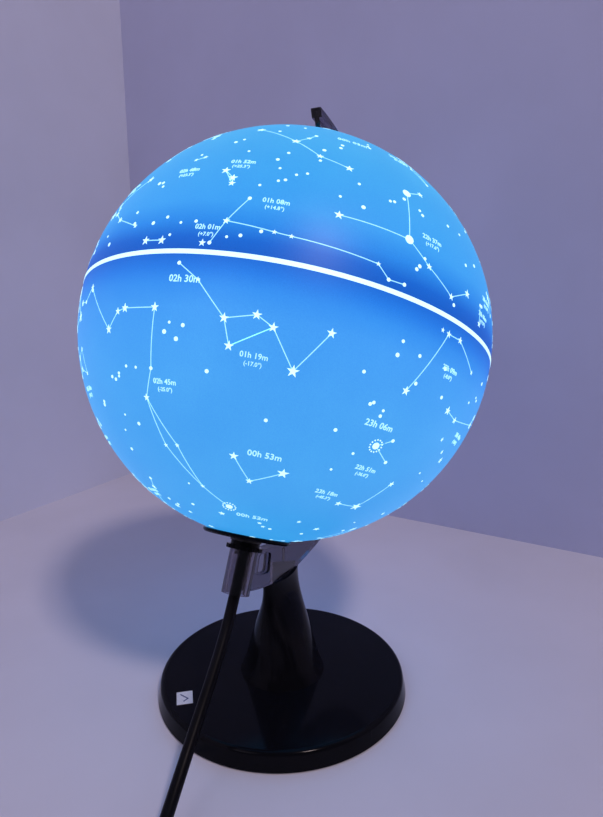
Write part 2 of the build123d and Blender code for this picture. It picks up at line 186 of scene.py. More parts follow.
def clear_plastic():
    """Clear, slightly smoky plastic: dark where it is looked through lengthwise."""
    look = Look("clear_plastic", (0.93, 0.92, 0.94), Roughness=0.08, IOR=1.49, Transmission_Weight=1.0)
    look.shader.inputs["Specular IOR Level"].default_value = 0.3
    look.rough(look.noise(90, 4), 0.02, 0.07)
    look.bump(look.noise(45, 2, (1, 6, 1)), 0.05 * MM, 0.3)
    smoke = look.node("ShaderNodeVolumeAbsorption")
    smoke.inputs["Color"].default_value = (0.42, 0.40, 0.50, 1)
    smoke.inputs["Density"].default_value = 430
    look.join(smoke.outputs["Volume"], look.tree.nodes["Material Output"].inputs["Volume"])
    return look.material


def distance_along(look, direction):
    """How far a point is from the globe's centre in one direction."""
    offset = look.node("ShaderNodeVectorMath", operation="SUBTRACT")
    offset.inputs[1].default_value = GLOBE
    look.join(look.place, offset.inputs[0])
    along = look.node("ShaderNodeVectorMath", operation="DOT_PRODUCT")
    along.inputs[1].default_value = direction
    look.join(offset.outputs["Vector"], along.inputs[0])
    return along.outputs["Value"]


def printed_shell():
    """Translucent printed plastic, lit from inside, with painted shade of the joining ring's inner lip in a
    band either side of the seam.
    """
    look = Look("printed_sky", (0.006, 0.08, 0.22), Roughness=0.42, Specular_IOR_Level=0.3)
    height = look.span(distance_along(look, AXIS), 0, 1, -0.1, 0.1)
    # Emission by height along the axis; the dark band either side of the seam is painted shade of the
    # joining ring's inner lip.
    glow_with_lip_shade = look.ramp(
        height,
        (0.0, (0.05, 0.42, 0.90)),
        (0.10, (0.075, 0.43, 0.93)),
        (0.28, (0.085, 0.44, 0.97)),
        (0.40, (0.072, 0.39, 0.97)),
        (0.44, (0.045, 0.32, 0.93)),
        (0.47, (0.020, 0.22, 0.83)),
        (0.496, (0.010, 0.15, 0.70)),
        (0.505, (0.003, 0.10, 0.57)),
        (0.530, (0.004, 0.13, 0.65)),
        (0.565, (0.024, 0.28, 0.86)),
        (0.61, (0.052, 0.40, 0.94)),
        (0.80, (0.065, 0.47, 0.90)),
        (1.0, (0.07, 0.50, 0.90)),
    )
    grain = look.ramp(look.noise(2600, 2), (0.3, (0.78, 0.83, 0.90)), (0.7, (1.0, 1.0, 1.0)))
    cloud = look.ramp(look.noise(26, 4), (0.3, (0.82, 0.90, 0.96)), (0.7, (1.0, 1.0, 1.0)))
    for layer in (grain, cloud):
        product = look.node("ShaderNodeMix", data_type="RGBA", blend_type="MULTIPLY")
        product.inputs["Factor"].default_value = 1
        look.join(glow_with_lip_shade, product.inputs["A"])
        look.join(layer, product.inputs["B"])
        glow_with_lip_shade = product.outputs["Result"]
    look.join(glow_with_lip_shade, look.shader.inputs["Emission Color"])
    look.shader.inputs["Emission Strength"].default_value = 0.92
    look.bump(look.noise(900, 2), 0.02 * MM, 0.5)
    return look.material


def glowing(name, color, strength, grain=1400):
    """Unprinted translucent plastic or pale ink, with the lamp shining through."""
    look = Look(name, color, Roughness=0.4)
    faint = tuple(c * 0.85 for c in color)
    light = look.ramp(look.noise(grain, 2), (0.3, faint), (0.7, color))
    look.join(light, look.shader.inputs["Emission Color"])
    look.shader.inputs["Emission Strength"].default_value = strength
    look.bump(look.noise(1800, 1), 0.01 * MM)
    return look.material


def rubber(name, color, roughness=0.5):
    look = Look(name, color, Roughness=roughness, Specular_IOR_Level=0.1)
    look.color(look.noise(120, 4), *shades(color, 0.3))
    look.rough(look.noise(400, 3), roughness * 0.75, roughness * 1.2)
    look.bump(look.noise(3000, 2), 0.015 * MM)
    return look.material


def foam():
    look = Look("eva_foam", (0.03, 0.03, 0.035), Roughness=0.95)
    pores = look.cells(1500)
    look.color(pores, (0.1, (0.012, 0.012, 0.014)), (0.5, (0.045, 0.045, 0.05)))
    look.bump(pores, 0.12 * MM, 0.8)
    return look.material


def metal(name, color, roughness, brushed=(1, 1, 12)):
    look = Look(name, color, Roughness=roughness, Metallic=1.0)
    look.color(look.noise(300, 4, brushed), *shades(color, 0.15))
    look.rough(look.noise(500, 4, brushed), roughness * 0.7, roughness * 1.4)
    look.bump(look.noise(900, 3, brushed), 0.01 * MM)
    return look.material


def cast_iron():
    look = Look("cast_weight", (0.1, 0.1, 0.1), Roughness=0.75, Metallic=0.6)
    bare, scaly, rusty = (0.05, 0.05, 0.052), (0.13, 0.12, 0.115), (0.2, 0.1, 0.06)
    look.color(look.noise(150, 6), (0.35, bare), (0.6, scaly), (0.8, rusty))
    look.bump(look.noise(700, 5), 0.25 * MM)
    return look.material


def paper():
    look = Look("paper", (0.72, 0.73, 0.76), Roughness=0.6)
    look.color(look.noise(1600, 4), *shades((0.7, 0.71, 0.75), 0.08))
    look.bump(look.noise(3500, 3), 0.01 * MM)
    return look.material


def frosted():
    look = Look("opal_plastic", (0.92, 0.92, 0.88), Roughness=0.55, Subsurface_Weight=0.3)
    look.shader.inputs["Subsurface Scale"].default_value = 0.003
    light = look.ramp(look.noise(50, 2), (0.3, (0.9, 0.92, 1.0)), (0.7, (1.0, 1.0, 1.0)))
    look.join(light, look.shader.inputs["Emission Color"])
    look.shader.inputs["Emission Strength"].default_value = 1.2
    look.bump(look.noise(1500, 2), 0.01 * MM)
    return look.material


LOOKS = {
    "gloss_black": gloss_black(),
    "satin_black": moulded("satin_black", (0.012, 0.012, 0.014), 0.42, depth_mm=0.03),
    "clear_plastic": clear_plastic(),
    "printed_sky": printed_shell(),
    "seam_white": glowing("seam_white", (0.62, 0.95, 1.0), 1.05),
    "black_cord": rubber("black_cord", (0.003, 0.003, 0.005), 0.42),
    "eva_foam": foam(),
    "zinc_steel": metal("zinc_steel", (0.62, 0.62, 0.64), 0.3),
    "nickel_pins": metal("nickel_pins", (0.72, 0.70, 0.66), 0.2, (10, 1, 1)),
    "brass_sheet": metal("brass_sheet", (0.78, 0.56, 0.25), 0.3),
    "white_plastic": moulded("white_plastic", (0.8, 0.8, 0.77), 0.4),
    "opal_plastic": frosted(),
    "cast_weight": cast_iron(),
    "white_board": moulded("white_board", (0.85, 0.86, 0.84), 0.35, 0.6),
    "led_phosphor": glowing("led_phosphor", (1.0, 0.82, 0.25), 1.0),
    "paper": paper(),
}
INK = glowing("printed_light", (0.60, 0.95, 1.0), 1.05)
LINE_INK = glowing("printed_line_light", (0.34, 0.80, 1.0), 0.98)
LABEL_INK = glowing("printed_label_light", (0.42, 0.85, 1.0), 0.98)
DARK_INK = moulded("dark_ink", (0.05, 0.07, 0.18), 0.6)


def dress_frame():
    """Gives each CAD node its own slot's procedural material."""
    slot_of = {part["node"]: part["material_slot"] for part in frame["record"]["subparts"]}
    for name, node in frame["nodes"].items():
        node.data.materials.clear()
        node.data.materials.append(LOOKS[slot_of[name]])


# --- Pieces ---------------------------------------------------------------------------------------
def piece(name, mesh, material, body):
    """A finished mesh piece that rides on a CAD body."""
    made = bpy.data.objects.new(name, mesh)
    bpy.context.scene.collection.objects.link(made)
    mesh.materials.append(material)
    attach(made, body)
    return made


def from_bmesh(name, shape):
    bmesh.ops.recalc_face_normals(shape, faces=shape.faces)
    mesh = bpy.data.meshes.new(name)
    shape.to_mesh(mesh)
    shape.free()
    return mesh


# --- The printed sky ------------------------------------------------------------------------------
# Each row: figure | stars as right ascension, declination and size class | lines between stars, by
# their place in the list, in hexadecimal | where its label goes, and a 1 where it has one large line.
# A row with a * is on the south half. Any field after the name may be empty, and an indented line goes
# on with the row above. The figures from Capricornus and Andromeda to Eridanus, and their labels,
# follow the printed chart as measured and rounded. The rest follow the real sky.
SKY = """
Andromeda | .14 29.1 4, .66 30.9 3, 1.16 35.6 4, 2.06 42.3 4, .95 38.5 2, .83 41.1 1 | 0123 245 |
    .05 42.5 1
Cassiopeia | .15 59.1 4, .68 56.5 4, .95 60.7 4, 1.43 60.2 3, 1.91 63.7 3 | 01234 | .9 66
Cepheus | 21.31 62.6 4, 21.48 70.6 3, 23.66 77.6 3, 22.83 66.2 3, 22.18 58.2 3 | 0123404 13 | 22.2 73
Perseus | 3.08 53.5 2, 3.41 49.9 5, 3.72 47.8 3, 3.96 40 3, 3.9 31.9 3, 3.14 41 4, 3.08 38.8 2 |
    01234 156 | 3.5 44
Aries_head | 2.08 22.9 4, 1.9 20.8 4, 1.88 19.2 3 | 0120 | 1.86 25.3
Aries_back | 2.83 27.3 2, 2.66 28 2 | 01 | 2.8 23.3
Pisces | 1.52 15.3 1, 1.76 9.2 3, 1.92 3.9 1, 1.05 7.9 2, .81 7.6 2, 23.55 6.6 2, 23.36 4 1, 23.1 4.2 1,
    2.03 3.8 3 | 012 134567 | 1.13 14.8
Pegasus | .22 15.2 4, 23.08 15.2 6, 23.06 28.1 6, 22.69 10.8 3, 22.17 6.6 3, 21.74 9.9 4, 22.72 30.2 3,
    23.14 25.8 1 | 01 1345 126 | 22.62 17.6
Cygnus | 20.69 45.3 5, 20.37 40.3 4, 19.94 35.1 2, 19.51 28 4, 20.77 34 3, 19.75 45.1 3, 19.28 53.4 2 |
    0123 4156 | 20.9 39
Lyra | 18.62 38.8 5, 18.75 37.6 2, 18.91 36.9 2, 18.98 32.7 3, 18.83 33.4 3 | 01 12341 | 18.5 34
Aquila | 19.85 8.9 5, 19.77 10.6 3, 19.92 6.4 2, 19.42 3.1 3, 19.09 13.9 3 | 102 403 | 19.5 12
Delphinus | 20.66 15.9 2, 20.63 14.6 3, 20.72 15.1 2, 20.78 16.1 2, 20.55 11.3 2 | 01230 14 | 20.9 12.5
Equuleus | 21.26 5.2 3, 21.24 10 1, 21.17 10.1 1 | 012 | 21.1 7.5
Sagitta | 19.98 19.5 3, 19.79 18.5 3, 19.67 18 2, 19.68 17 2 | 012 13 | 20 17.3
Vulpecula | 19.48 24.7 2, 19.89 24.1 1 | 01 | 20.1 25.6
Lacerta | 22.52 50.3 3, 22.39 52.2 2, 22.41 49.5 1, 22.35 46.5 1, 22.51 43.1 1, 22.27 37.7 1 | 1023451 |
    22.8 45
Hercules | 16.69 31.6 3, 16.71 38.9 3, 17.25 36.8 3, 17 30.9 3, 16.5 21.5 3, 16.37 19.2 2, 17.25 24.8 3,
    17.77 27.7 3, 17.94 37.3 2 | 01230 045 3678 | 16.8 25.5
Draco | 17.51 52.3 3, 17.94 51.5 4, 17.89 56.9 2, 17.54 55.2 2, 19.21 67.7 3, 18.35 72.7 3,
    17.15 65.7 3, 16.4 61.5 3, 16.03 58.6 3, 15.42 59 3, 14.07 64.4 3, 12.56 69.8 3 | 01230 2456789ab |
    17 69.5
Ursa_major | 11.06 61.8 5, 11.03 56.4 4, 11.9 53.7 4, 12.26 57 3, 12.9 56 4, 13.4 54.9 4, 13.79 49.3 4,
    9.53 63.1 3, 8.5 60.7 3, 9.55 51.7 3, 8.99 48 3, 11.77 47.8 3, 11.3 33.1 3, 10.28 42.9 2 |
    30123456 078 19a 2bc bd | 10.6 66
Ursa_minor | 2.5 85.2 4, 17.54 84.6 2, 16.77 82 2, 15.73 77.8 2, 14.85 74.2 4, 15.35 71.8 3,
    16.29 75.8 2 | 01234563 | 14.2 79
Camelopardalis | 4.9 66.3 2, 5.06 60.4 2, 3.84 71.3 2, 4.95 53.8 2 | 2013 | 5.6 65
Lynx | 9.35 34.4 3, 9.31 36.8 2, 9.01 41.8 2, 8.38 43.2 2, 7.44 49.2 2, 6.95 58.4 2 | 012345 | 7.9 52
Auriga | 5.28 46 5, 5.99 44.9 4, 5.99 37.2 3, 5.44 28.6 4, 4.95 33.2 3, 5.04 43.8 3 | 0123450 | 5.5 40
Taurus | 4.6 16.5 5, 4.33 15.6 3, 4.38 17.5 2, 4.48 19.2 3, 5.63 21.1 3, 4.01 12.5 3, 3.41 9 2,
    3.79 24.1 4 | 40156 1237 | 4.4 24
Gemini | 7.58 31.9 4, 7.76 28 5, 7.34 22 3, 6.73 25.1 3, 6.38 22.5 3, 6.63 16.4 4, 7.07 20.6 3,
    7.19 30.2 2 | 0734 01265 | 6.9 28.5
Cancer | 8.78 28.8 2, 8.72 21.5 2, 8.74 18.2 3, 8.97 11.9 3, 8.28 9.2 3 | 0123 24 | 8.4 17
Canis_minor | 7.66 5.2 5, 7.45 8.3 3 | 01 | 7.3 11.5
Orion_shoulders | 5.92 7.4 5, 5.42 6.3 4, 5.59 9.9 3, 4.83 7 3, 4.84 8.9 2, 4.9 10.2 2 | 021 13 345 |
    5.7 13
Leo | 10.14 12 5, 10.12 16.8 3, 10.33 19.8 4, 10.28 23.4 3, 9.88 26 3, 9.76 23.8 3, 11.24 15.4 3,
    11.82 14.6 4, 11.24 20.5 4 | 012345 06782 | 10.9 12
Leo_minor | 10.89 34.2 2, 10.43 36.7 2, 10.12 35.2 2 | 012 | 10.3 31.5
Canes_venatici | 12.93 38.3 4, 12.56 41.4 2 | 01 | 13.3 42
Coma | 13.17 17.5 2, 13.2 27.9 2, 12.45 28.3 2 | 012 | 12.7 23
Bootes | 14.26 19.2 5, 13.91 18.4 3, 14.75 27.1 4, 15.26 33.3 3, 15.03 40.4 3, 14.53 38.3 3,
    14.53 30.4 2, 14.69 13.7 2 | 10 0234560 07 | 14 34
Corona | 15.55 31.4 1, 15.46 29.1 2, 15.58 26.7 4, 15.71 26.3 2, 15.83 26.1 2, 15.96 26.9 2,
    16.02 29.9 2 | 0123456 | 15.7 23
Serpens | 15.74 6.4 3, 15.58 10.5 2, 15.77 15.4 3, 15.94 15.7 2, 15.81 18.1 2, 15.85 4.5 2 | 501234 23 |
    15.3 13.5
Ophiuchus | 17.58 12.6 4, 16.96 9.4 3, 17.72 4.6 3, 17.8 3.4 2 | 1023 | 17.2 14.5
Virgo | 13.04 11 4, 12.93 4 3, 11.85 3.6 3 | 012 | 12.4 8
Cetus_head | 3.04 4.6 4, 2.72 4.4 4 | 01 | 2.01 7
Hydra_head | 8.63 5.7 2, 8.78 6.4 3, 8.92 5.9 2, 9.24 3.6 2 | 0123 | 8.9 9
*Cetus | 2.63 .6 1, 2.29 -2.7 2, 1.82 -9.9 4, 1.37 -8.3 4, 1.12 -10.2 4, 1.7 -15.3 4, .73 -18 5,
    .32 -8.8 4 | 0123452 54 467 | 1.32 -17
*Eridanus | 5.13 -5.1 3, 4.88 -5.5 1, 4.63 -2.6 3, 3.96 -13.4 4, 3.72 -9.6 3, 3.55 -9 4, 2.94 -8.9 4,
    3 -21.8 1, 3.17 -28.4 3, 2.97 -39.8 2, 2.68 -39.4 2, 2.3 -50.9 2, 1.63 -57.3 7 |
    012345678 89bc 8ab | 2.75 -25
*Phoenix | .44 -41.8 5, 1.1 -46.1 3, 1.47 -39.6 4 | 012 | .88 -38.6 1
*Piscis | 22.96 -29.3 7, 22.68 -27 1, 22.53 -32.5 1 | 102 | 22.85 -36
*Grus | 22.79 -47.5 3, 22.2 -47.2 5, 21.9 -37.6 3 | 012 | 23.3 -45.3
*Aquarius | 22.91 -15.6 4, 22.41 -.4 3, 22.1 -.3 3, 21.5 -5.2 2, 22.56 -.2 2, 22.78 -13.4 1 | 0123 |
    22.15 -8
*Capricornus | 21.78 -15.9 4, 21.4 -17 3, 20.35 -14.8 4, 20.3 -12.5 3, 20.86 -26.9 3, 21.1 -25 2,
    21.44 -22.4 2 | 0123 | 20.8 -20
*Microscopium | 20.83 -33.8 0, 21.3 -32.2 0 | |
*Indus | 20.63 -47.3 2, 20.91 -58.5 1, 21.33 -53.4 0 | |
*Tucana | 22.31 -60.3 3, 23.29 -58.2 2, .53 -63 2, .33 -64.9 2, 23.99 -65.6 1, 22.46 -65 1 | | .86 -61 1
*Hydrus | 1.98 -61.6 3, .43 -77.3 3, 3.79 -74.2 3 | |
*Reticulum | 4.24 -62.5 3, 3.74 -64.8 2, 4.02 -61.4 1, 4.27 -59.3 1 | |
*Horologium | 4.23 -42.3 1, 2.71 -50.8 0, 3.06 -59.7 1 | |
*Dorado | 4.57 -55 3, 5.56 -62.5 2, 5.75 -65.7 1, 4.27 -51.5 1 | 3012 | 5 -57
*Pictor | 6.8 -61.9 3, 5.83 -56.2 1, 5.79 -51.1 2 | 012 | 6.4 -56
*Carina | 6.4 -52.7 5, 9.22 -69.7 4, 8.38 -59.5 4, 9.28 -59.3 3, 10.23 -70 2, 7.95 -53 2 | 0523 14 |
    7.6 -64
*Vela | 8.16 -47.3 4, 8.75 -54.7 4, 9.37 -55 3, 9.95 -54.6 2, 10.78 -49.4 3, 9.13 -43.4 4 | 0123450 |
    9.5 -49
*Puppis | 8.06 -40 4, 7.29 -37.1 3, 6.63 -43.2 3, 6.83 -50.6 3, 8.13 -24.3 3, 7.82 -24.9 2 | 40123 51 |
    7.6 -33
*Canis_major | 6.75 -16.7 5, 6.38 -18 3, 7.14 -26.4 4, 6.98 -29 4, 7.4 -29.3 3, 6.34 -30.1 2,
    7.06 -15.6 2 | 1024 235 06 | 6.5 -24
*Lepus | 5.55 -17.8 3, 5.47 -20.8 3, 5.22 -16.2 2, 5.09 -22.4 2, 5.74 -22.4 2, 5.78 -14.8 1 |
    20132 140 05 | 5.3 -26.5
*Columba | 5.66 -34.1 3, 5.85 -35.8 3, 5.52 -35.5 2, 6.37 -33.4 1 | 2013 | 5.8 -39.5
*Orion_legs | 5.24 -8.2 5, 5.8 -9.7 4, 5.68 -1.9 4, 5.6 -1.2 4, 5.53 -.5 4, 5.59 -5.4 3 | 04321 35 10 |
    6.15 -9
*Monoceros | 7.69 -9.6 2, 7.2 -.5 2, 6.48 -7 2, 6.25 -6.3 2 | 0123 | 6.9 -11
*Fornax | 3.55 -35 1, 3.9 -33 0, 4.1 -37 0 | |
*Hydra | 9.46 -8.7 5, 10.18 -12.4 2, 10.43 -16.8 3, 10.83 -16.2 3, 11.55 -31.9 3, 13.32 -23.2 3,
    14.11 -26.7 3 | 0123456 | 9.9 -19
*Crater | 11 -18.3 2, 11.19 -22.8 2, 11.41 -17.7 2, 11.32 -14.8 3 | 01230 | 11 -25.8
*Corvus | 12.26 -17.5 4, 12.17 -22.6 3, 12.57 -23.4 4, 12.5 -16.5 3 | 01230 | 12.4 -27
*Virgo_body | 13.42 -11.2 5, 12.69 -1.4 4, 13.17 -5.5 3, 13.58 -.6 3, 14.27 -6 2, 14.72 -5.7 2 |
    0213 045 | 13.9 -11.5
*Libra | 14.85 -16 4, 15.28 -9.4 4, 15.59 -14.8 3, 15.07 -25.3 3 | 301203 | 15.2 -19
*Scorpius | 16.49 -26.4 5, 16.01 -22.6 4, 16.09 -19.8 3, 15.98 -26.1 3, 16.6 -28.2 3, 16.84 -34.3 4,
    16.86 -38 3, 16.91 -42.4 2, 17.2 -43.2 3, 17.62 -43 4, 17.71 -39 3, 17.56 -37.1 5 | 213 10456789ab |
    16.3 -33
*Ophiuchus_body | 16.24 -3.7 4, 16.31 -4.7 3, 16.62 -10.6 3, 17.17 -15.7 4, 17.98 -9.8 3, 17.37 -25 2 |
    0123435 | 17.1 -7
*Sagittarius | 18.4 -34.4 5, 18.35 -29.8 4, 18.47 -25.4 3, 18.76 -27 3, 18.92 -26.3 4, 19.12 -27.7 3,
    19.04 -29.9 4, 18.1 -30.4 3 | 1701234560 136 | 19.5 -34
*Corona_south | 19.16 -37.9 2, 19.11 -37.1 1, 19.17 -39.3 1, 18.98 -42.1 1 | 1023 | 19.6 -42
*Scutum | 18.59 -8.2 2, 18.79 -4.7 1, 18.7 -9.1 1 | 102 | 19 -7
*Aquila_tail | 19.1 -4.9 3, 20.19 -.8 3, 19.6 -1.3 2 | 021 | 19.7 -5
*Telescopium | 18.45 -46 2, 18.48 -49.1 1 | 01 | 19 -50
*Pavo | 20.43 -56.7 4, 20.75 -66.2 2, 20.14 -66.2 2, 18.72 -71.4 2, 17.76 -64.7 2 | 012340 | 19.2 -63
*Ara | 17.53 -49.9 3, 17.42 -55.5 3, 16.98 -56 2, 16.83 -59 3 | 0123 | 17.9 -54
*Lupus | 14.7 -47.4 4, 14.98 -43.1 3, 15.36 -40.6 3, 15.59 -41.2 3, 15.38 -44.7 2, 16 -38.4 2,
    15.2 -52.1 2 | 60123541 35 | 15.8 -47
*Centaurus | 14.66 -60.8 5, 14.06 -60.4 5, 13.66 -53.5 4, 13.93 -47.3 3, 14.11 -36.4 4, 13.34 -36.7 3,
    12.69 -49 4, 12.14 -50.7 3, 14.59 -42.2 3 | 02 1234 358 267 | 13.2 -43
*Crux | 12.44 -63.1 5, 12.52 -57.1 4, 12.8 -59.7 5, 12.25 -58.7 4 | 01 23 | 12 -61.5
*Musca | 12.62 -69.1 4, 12.77 -68.1 3, 13.04 -71.5 2, 12.54 -72.1 2, 11.76 -66.7 2 | 012304 | 11.8 -72
*Triangle_south | 16.81 -69 4, 15.92 -63.4 3, 15.32 -68.7 3 | 0120 | 16.1 -73
*Circinus | 14.71 -65 3, 15.29 -58.8 1 | 01 | 14.2 -68
*Mira | | | 2.5 -3.4 1
*Fomalhaut | | | 23.1 -25.2 1
*Octans | 21.69 -75.4 2, 22.77 -76.4 1, 14.45 -76.7 1 | 01 | 20.5 -73
*Chamaeleon | 8.31 -75.9 1, 10.59 -76.6 1, 12.31 -75.3 1 | 012 | 9.4 -73
*Volans | 7.28 -68 2, 8.43 -66.1 1, 9.04 -66.4 1, 8.13 -68.6 1 | 01230 | 6.6 -70.5
"""
# Star radii for size classes 0 to 7, and the classes that are drawn as plain dots
STAR_MM = (0.45, 0.75, 1.0, 1.5, 1.9, 2.4, 1.9, 1.5)
DOT_CLASSES = (0, 1, 6, 7)
DOT_CORNERS = 12
HALO_CLASS = 7
HALO_DOTS = 14
HALO_MM = 2.7
HALO_DOT_MM = 0.32
POINTS = 5
WAIST = 0.38
LINE_MM = 0.34
LINE_STEP = radians(3)
SUNK_MM = 0.06
PROUD_MM = 0.09
LINE_PROUD_MM = 0.06


def printed_latitude(half, declination):
    """The charts are printed a little south of the true sky, and fit it again at their far edges."""
    if half == "south":
        return declination - 3.2 * (1 - (declination / 90) ** 4)
    return declination - 1.8 * min(1, max(0, (35 - declination) / 15))


def direction(half, longitude, latitude):
    """A unit vector from the globe's centre."""
    lon, lat = radians(longitude + SPIN[half]), radians(latitude)
    flat = Vector((cos(lat) * cos(lon), cos(lat) * sin(lon), sin(lat)))
    across = Vector((0, 1, 0)).cross(AXIS)
    return across * flat.x + Vector((0, 1, 0)) * flat.y + AXIS * flat.z


def star_direction(half, hours, declination):
    return direction(half, -15 * hours, printed_latitude(half, declination))


def on_globe(unit, lift_mm):
    return GLOBE + unit * (RADIUS + lift_mm * MM)


def add_patch(shape, outline, middle):
    """A thin closed patch on the globe: outline is unit vectors round the unit vector middle."""
    low = [shape.verts.new(on_globe(unit, -SUNK_MM)) for unit in outline]
    top = [shape.verts.new(on_globe(unit, PROUD_MM)) for unit in outline]
    low_middle = shape.verts.new(on_globe(middle, -SUNK_MM))
    top_middle = shape.verts.new(on_globe(middle, PROUD_MM))
    for k in range(len(outline)):
        after = (k + 1) % len(outline)
        shape.faces.new((top_middle, top[k], top[after]))
        shape.faces.new((low_middle, low[after], low[k]))
        shape.faces.new((top[k], low[k], low[after], top[after]))


def add_star(shape, unit, size_mm, points=POINTS):
    """A five-pointed star, or a round dot where points is 0."""
    east = AXIS.cross(unit).normalized()
    north = unit.cross(east)
    count = 2 * points if points else DOT_CORNERS
    outline = []
    for k in range(count):
        reach = size_mm * (WAIST if points and k % 2 else 1) * MM / RADIUS
        angle = pi / 2 + 2 * pi * k / count
        outline.append((unit + (east * cos(angle) + north * sin(angle)) * reach).normalized())
    add_patch(shape, outline, unit)


def add_halo(shape, unit):
    """A ring of tiny dots round a bright star."""
    east = AXIS.cross(unit).normalized()
    north = unit.cross(east)
    for k in range(HALO_DOTS):
        angle = 2 * pi * k / HALO_DOTS
        spoke = (east * cos(angle) + north * sin(angle)) * (HALO_MM * MM / RADIUS)
        add_star(shape, (unit + spoke).normalized(), HALO_DOT_MM, 0)


def add_line(shape, start, end):
    """A thin closed ribbon along the great circle between two stars."""
    span = start.angle(end)
    steps = max(1, round(span / LINE_STEP))
    side = start.cross(end).normalized() * (LINE_MM / 2 * MM / RADIUS)
    rows = []
    for k in range(steps + 1):
        unit = start.slerp(end, k / steps)
        corners = [(unit + side, LINE_PROUD_MM), (unit - side, LINE_PROUD_MM)]
        corners += [(unit - side, -SUNK_MM), (unit + side, -SUNK_MM)]
        rows.append([shape.verts.new(on_globe(corner.normalized(), lift)) for corner, lift in corners])
    for before, after in zip(rows, rows[1:]):
        for k in range(4):
            shape.faces.new((before[k], before[(k + 1) % 4], after[(k + 1) % 4], after[k]))
    shape.faces.new(rows[0])
    shape.faces.new(rows[-1][::-1])


def read_sky():
    """Each constellation as (half, stars, chains of star numbers, label place)."""
    for row in SKY.replace("\n    ", " ").strip().splitlines():
        name, stars, chains, label = (field.strip() for field in row.split("|"))
        half = "south" if name.startswith("*") else "north"
        stars = [tuple(float(value) for value in star.split()) for star in stars.split(",") if star]
        chains = [[int(digit, 16) for digit in chain] for chain in chains.split()]
        yield half, stars, chains, tuple(float(value) for value in label.split())


# Fainter stars of the real sky that no figure uses, as hours: declinations
LONE = {
    "north": """1.19: 30.1 21; 1.32: 27.3; 1.23: 24.6 7.6; 1.09: 21.5; 1.44: 19.2; 1.5: 6.1;
        1.69: 5.5; 2.22: 8.8; 2.47: 8.5; 2.6: 5.6; 2.75: 10.1; 3: 8.9; 2.8: 29.2; 3.19: 19.7;
        3.25: 21; 3.35: 21.1; 3.45: 9.7; 3.51: 12.9; 4.05: 6; 4.26: 8.9; .61: 33.7; .64: 29.3;
        .79: 24.3; .95: 23.4; 1.61: 41.4; 1.63: 48.6; 1.16: 47.2; .28: 38.7; .31: 36.8;
        23.64: 43.3; 23.67: 44.3; 23.63: 46.5; 1.88: 29.6; 2.16: 35; 2.29: 33.8; 23.34: 23.7;
        23.42: 23.4; 22.78: 23.6 12.2; 22.83: 24.6; 22.87: 9.8; 22.92: 8.8; 21.74: 25.6 17.4;
        22.12: 25.3; 21.37: 19.8; 22.09: 5.1; 23.96: 25.1; 23.87: 19.1; .24: 20.2; 21.22: 30.2""",
    "south": """23.24: -6; 22.88: -7.6; 23.27: -9.1; 23.71: -14.5; 23.38: -20.1; 23.43: -20.6;
        23.16: -21.2; 23.17: -22.5; 22.11: -13.9; 22.28: -7.8; 21.16: -11.4; 20.79: -9.5;
        20.88: -9; 20.8: -5; 2: -21.1; 2.66: -11.9; 2.74: -13.9; 2.53: -15.2; 2.43: -12.3;
        23.82: -28.1; 23.31: -32.5; 23.55: -37.8; .98: -29.4; 3.33: -21.8; 3.56: -21.6;
        3.78: -23.2; 3.79: -23.9; 3.9: -24.6; 4: -24; 4.59: -30.6; 4.56: -29.8; 4.6: -3.4""",
}
LONE_COUNT = {"north": 190, "south": 130}
POLE_CLEAR = {"north": 84.5, "south": 75.0}
SEAM_CLEAR = 3
LONE_GAP = 4.5
NOTED_SIDE = (0.9, -8)
NOTED_REACH = 74


def noted_stars(half):
    for entry in LONE[half].split(";"):
        hours, declinations = entry.split(":")
        for declination in declinations.split():
            yield float(hours), float(declination)


def add_lone_stars(shape, half, charted):
    """The loose stars: the noted ones, then a scatter on the far side, clear of all that is charted."""
    draw = random.Random(7 if half == "north" else 11)
    for hours, declination in noted_stars(half):
        unit = star_direction(half, hours, declination)
        add_star(shape, unit, STAR_MM[1] * draw.uniform(0.7, 1.15), 0)
        charted.append(unit)
    across = Vector((0, 1, 0)).cross(AXIS)
    sign = 1 if half == "north" else -1
    noted_side = star_direction(half, *NOTED_SIDE)
    added = 0
    while added < LONE_COUNT[half]:
        height = draw.uniform(sin(radians(SEAM_CLEAR)), sin(radians(POLE_CLEAR[half])))
        turn, size = radians(draw.uniform(0, 360)), draw.choice((0, 0, 0, 0, 1, 1, 2))
        level = (1 - height * height) ** 0.5
        unit = across * level * cos(turn) + Vector((0, 1, 0)) * level * sin(turn) + AXIS * height * sign
        if min(unit.angle(other) for other in charted) < radians(LONE_GAP):
            continue
        if unit.angle(noted_side) < radians(NOTED_REACH):
            continue
        add_star(shape, unit, STAR_MM[size] * draw.uniform(0.85, 1.15), 0 if size < 2 else POINTS)
        added += 1


def make_stars():
    """Stars and joining lines, one closed-mesh piece for each printed half."""
    for half in ("north", "south"):
        stars_shape, lines_shape, charted = bmesh.new(), bmesh.new(), []
        for here, stars, chains, label in read_sky():
            if here != half:
                continue
            units = [star_direction(half, hours, declination) for hours, declination, size in stars]
            charted += units
            if label:
                charted.append(star_direction(half, *label[:2]))
            for unit, (hours, declination, size) in zip(units, stars):
                size = int(size)
                add_star(stars_shape, unit, STAR_MM[size], 0 if size in DOT_CLASSES else POINTS)
                if size == HALO_CLASS:
                    add_halo(stars_shape, unit)
            for chain in chains:
                for a, b in zip(chain, chain[1:]):
                    add_line(lines_shape, units[a], units[b])
        add_lone_stars(stars_shape, half, charted)
        for name, shape, ink in (("stars", stars_shape, INK), ("lines", lines_shape, LINE_INK)):
            piece(f"printed_{name}_{half}", from_bmesh(name, shape), ink, "globe")


